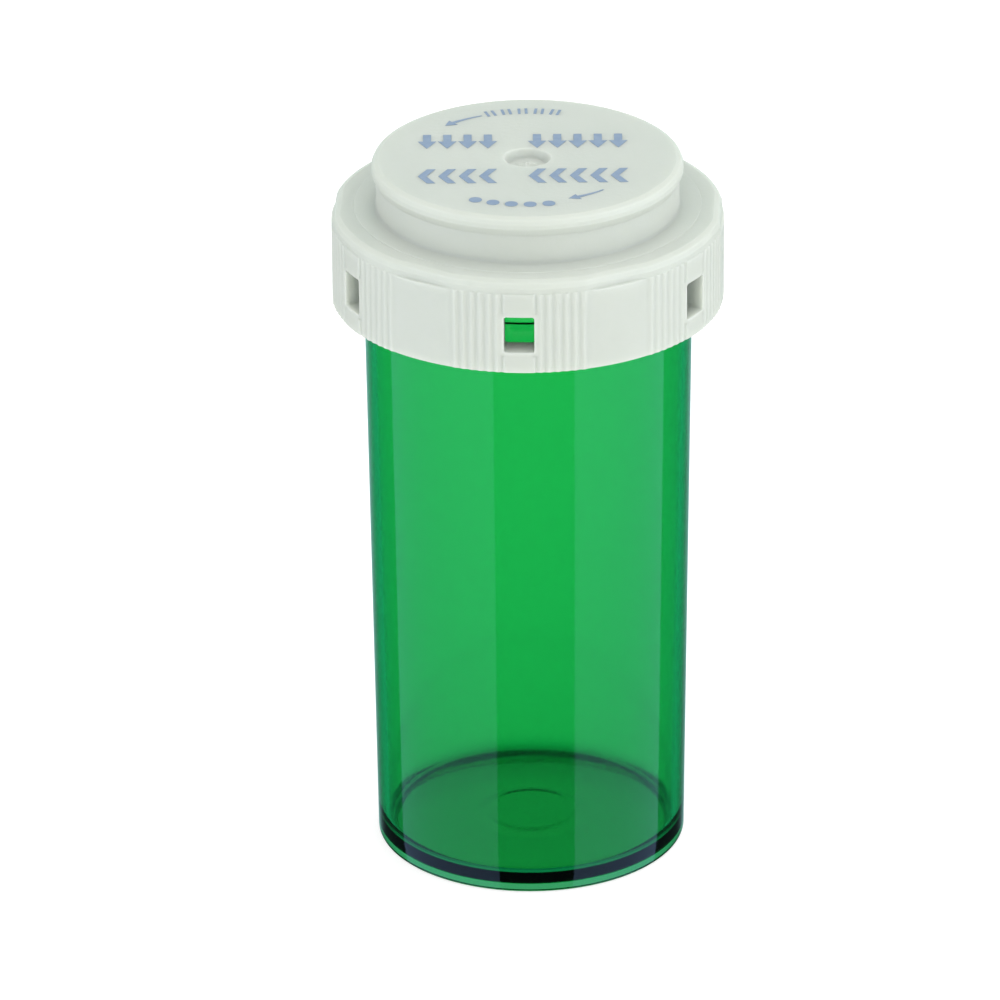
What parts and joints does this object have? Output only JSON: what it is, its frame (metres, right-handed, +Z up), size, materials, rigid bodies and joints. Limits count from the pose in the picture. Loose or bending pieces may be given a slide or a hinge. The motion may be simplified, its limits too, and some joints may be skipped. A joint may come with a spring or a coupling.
{
  "type": "prescription vial",
  "caption": "Round translucent pill vial with lugs on its neck and a reversible push-and-turn child-resistant cap over a spring disc.",
  "frame": {"origin": "centre of the vial's base, on the plane it stands on", "axes": "+Z up along the vial's axis; -Y faces the viewer, with one cap window 2.9 degrees to the left of it"},
  "size_m": [0.0434, 0.0438, 0.0825],
  "materials": {
    "green_translucent_plastic": "clear green moulded polypropylene, glossy",
    "natural_plastic": "uncoloured low-density polyethylene, waxy",
    "white_plastic": "white polypropylene, satin, slightly translucent",
    "printed_ink": "thin blue-grey pad print"
  },
  "bodies": {
    "vial": {"vial": "green_translucent_plastic"},
    "spring_disc": {"spring_disc": "natural_plastic"},
    "cap": {"cap": "white_plastic"}
  },
  "joints": [
    {"name": "cap_lift", "type": "slide", "parent": "vial", "child": "spring_disc", "axis": [0, 0, 1], "range_m": [0, 0.03]},
    {"name": "cap_turn", "type": "hinge", "parent": "spring_disc", "child": "cap", "pos_m": [0, 0, 0.0771], "axis": [0, 0, 1], "range_deg": [-23.6, 0]}
  ]
}
